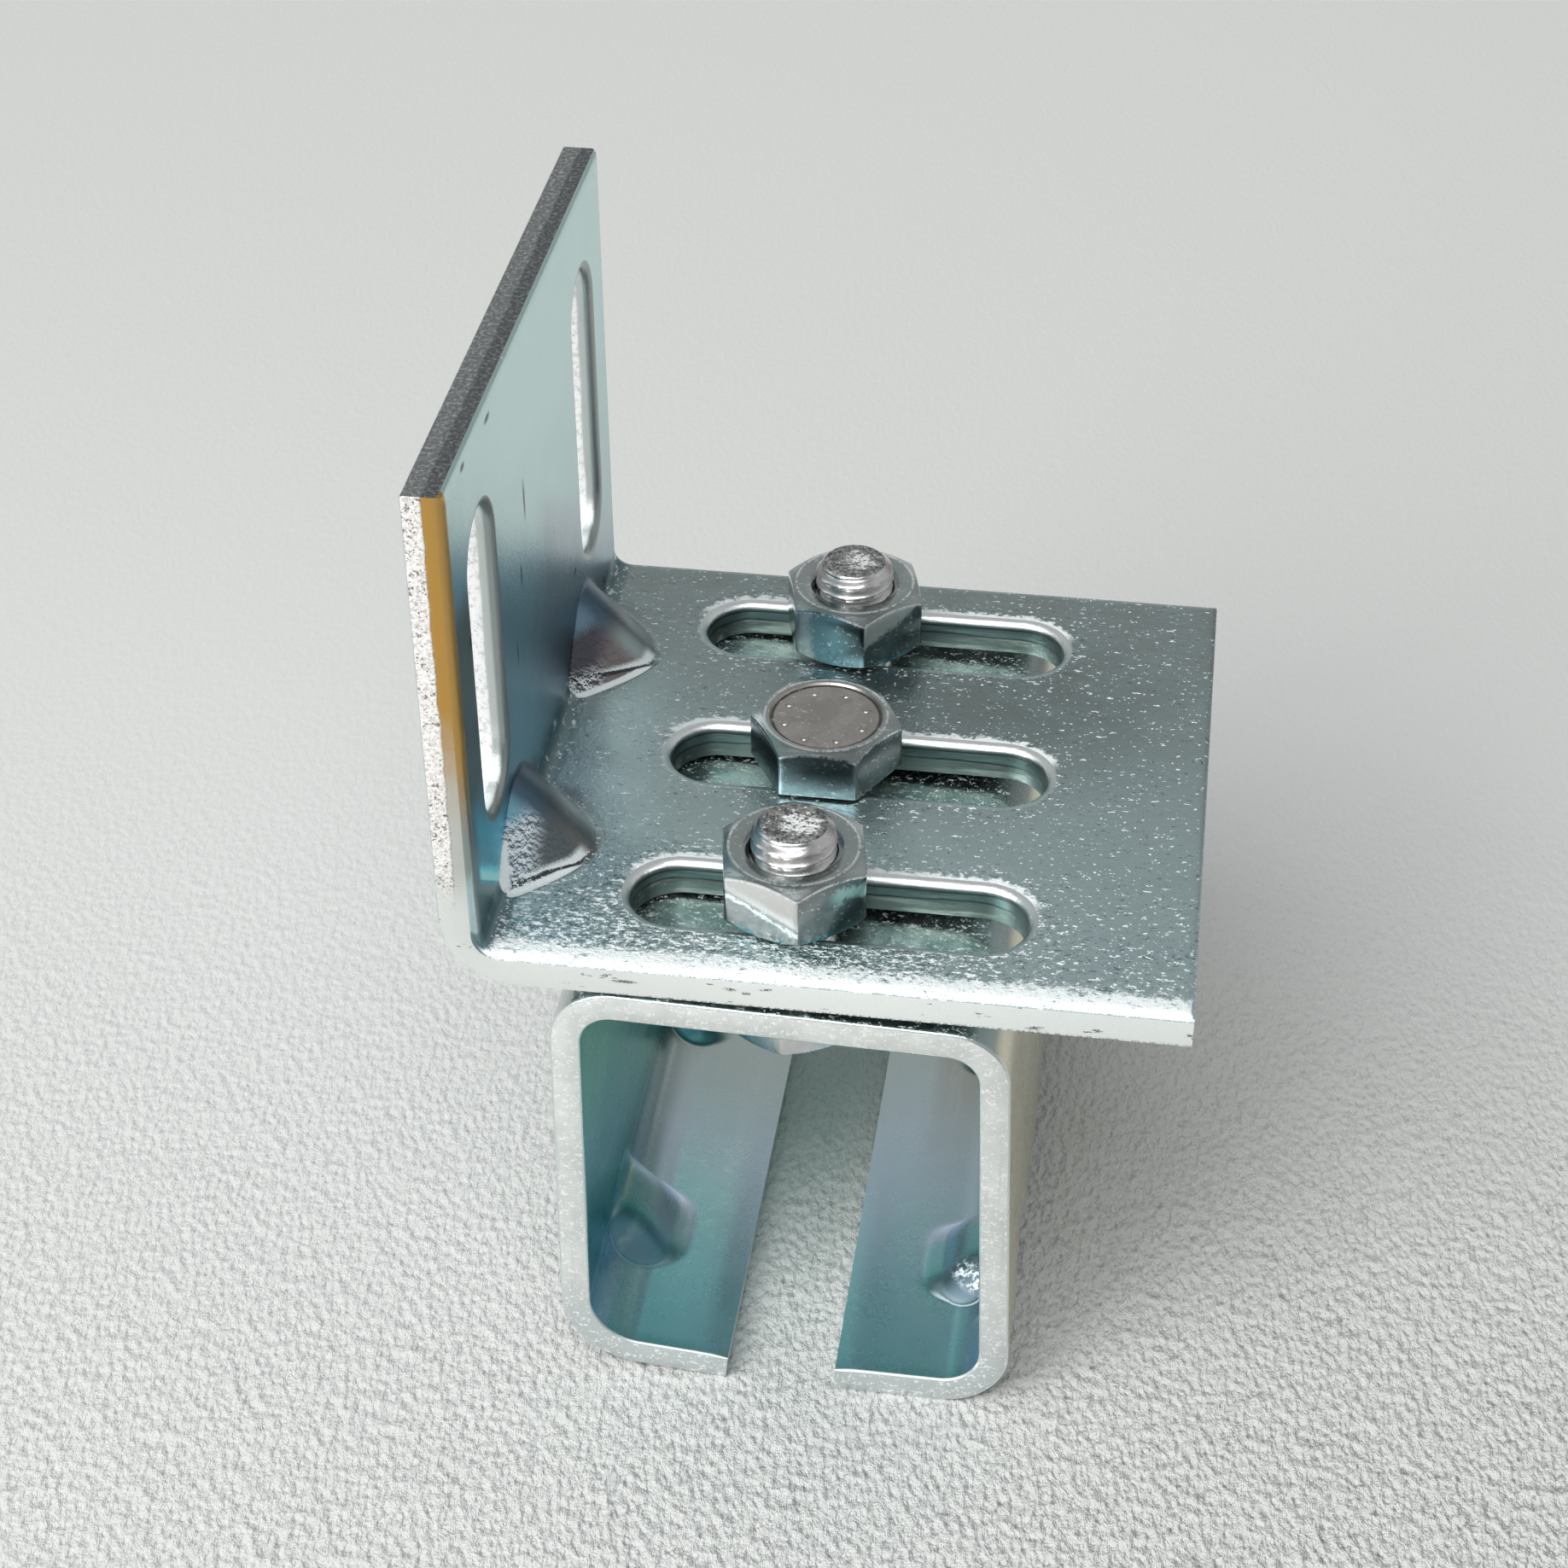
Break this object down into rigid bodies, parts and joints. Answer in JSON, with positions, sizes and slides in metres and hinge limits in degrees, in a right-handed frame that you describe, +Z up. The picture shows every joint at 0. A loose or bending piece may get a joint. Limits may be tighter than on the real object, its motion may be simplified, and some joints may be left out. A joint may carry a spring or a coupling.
{
  "type": "monorail wall bracket",
  "caption": "Slotted steel angle with pressed gussets, carrying an open track sleeve on adjustable bolts, for hanging a sliding-door track from a wall.",
  "frame": {"origin": "under the middle of the angle, level with the underside of the sleeve's lips", "axes": "+Z up, +X away from the wall that the upright flange is fixed to, +Y along the track"},
  "size_m": [0.068, 0.0666, 0.1008],
  "materials": {
    "bracket_zinc": "bright blue-passivated zinc plate on hot-rolled sheet",
    "sleeve_zinc": "bright blue-passivated zinc plate on folded sheet",
    "bolt_zinc": "bright zinc plate, with a rough cut tip",
    "nut_zinc": "bright zinc plate",
    "screw_zinc": "bright zinc plate, slightly warm on the head"
  },
  "bodies": {
    "angle": {"angle_bracket": "bracket_zinc"},
    "sleeve": {"track_sleeve": "sleeve_zinc", "front_bolt": "bolt_zinc", "rear_bolt": "bolt_zinc"},
    "front_nut": {"front_nut": "nut_zinc"},
    "rear_nut": {"rear_nut": "nut_zinc"},
    "clamp_screw": {"clamp_screw": "screw_zinc"}
  },
  "joints": [
    {"name": "sleeve_slide", "type": "slide", "parent": "angle", "child": "sleeve", "axis": [1, 0, 0], "range_m": [-0.011, 0.0174]},
    {"name": "front_nut_turn", "type": "hinge", "parent": "sleeve", "child": "front_nut", "pos_m": [-0.0032, -0.0222, 0.0565], "axis": [0, 0, 1], "continuous": true},
    {"name": "rear_nut_turn", "type": "hinge", "parent": "sleeve", "child": "rear_nut", "pos_m": [-0.0032, 0.0222, 0.0565], "axis": [0, 0, 1], "continuous": true},
    {"name": "clamp_screw_turn", "type": "hinge", "parent": "sleeve", "child": "clamp_screw", "pos_m": [-0.0032, 0, 0.0532], "axis": [0, 0, 1], "continuous": true}
  ]
}
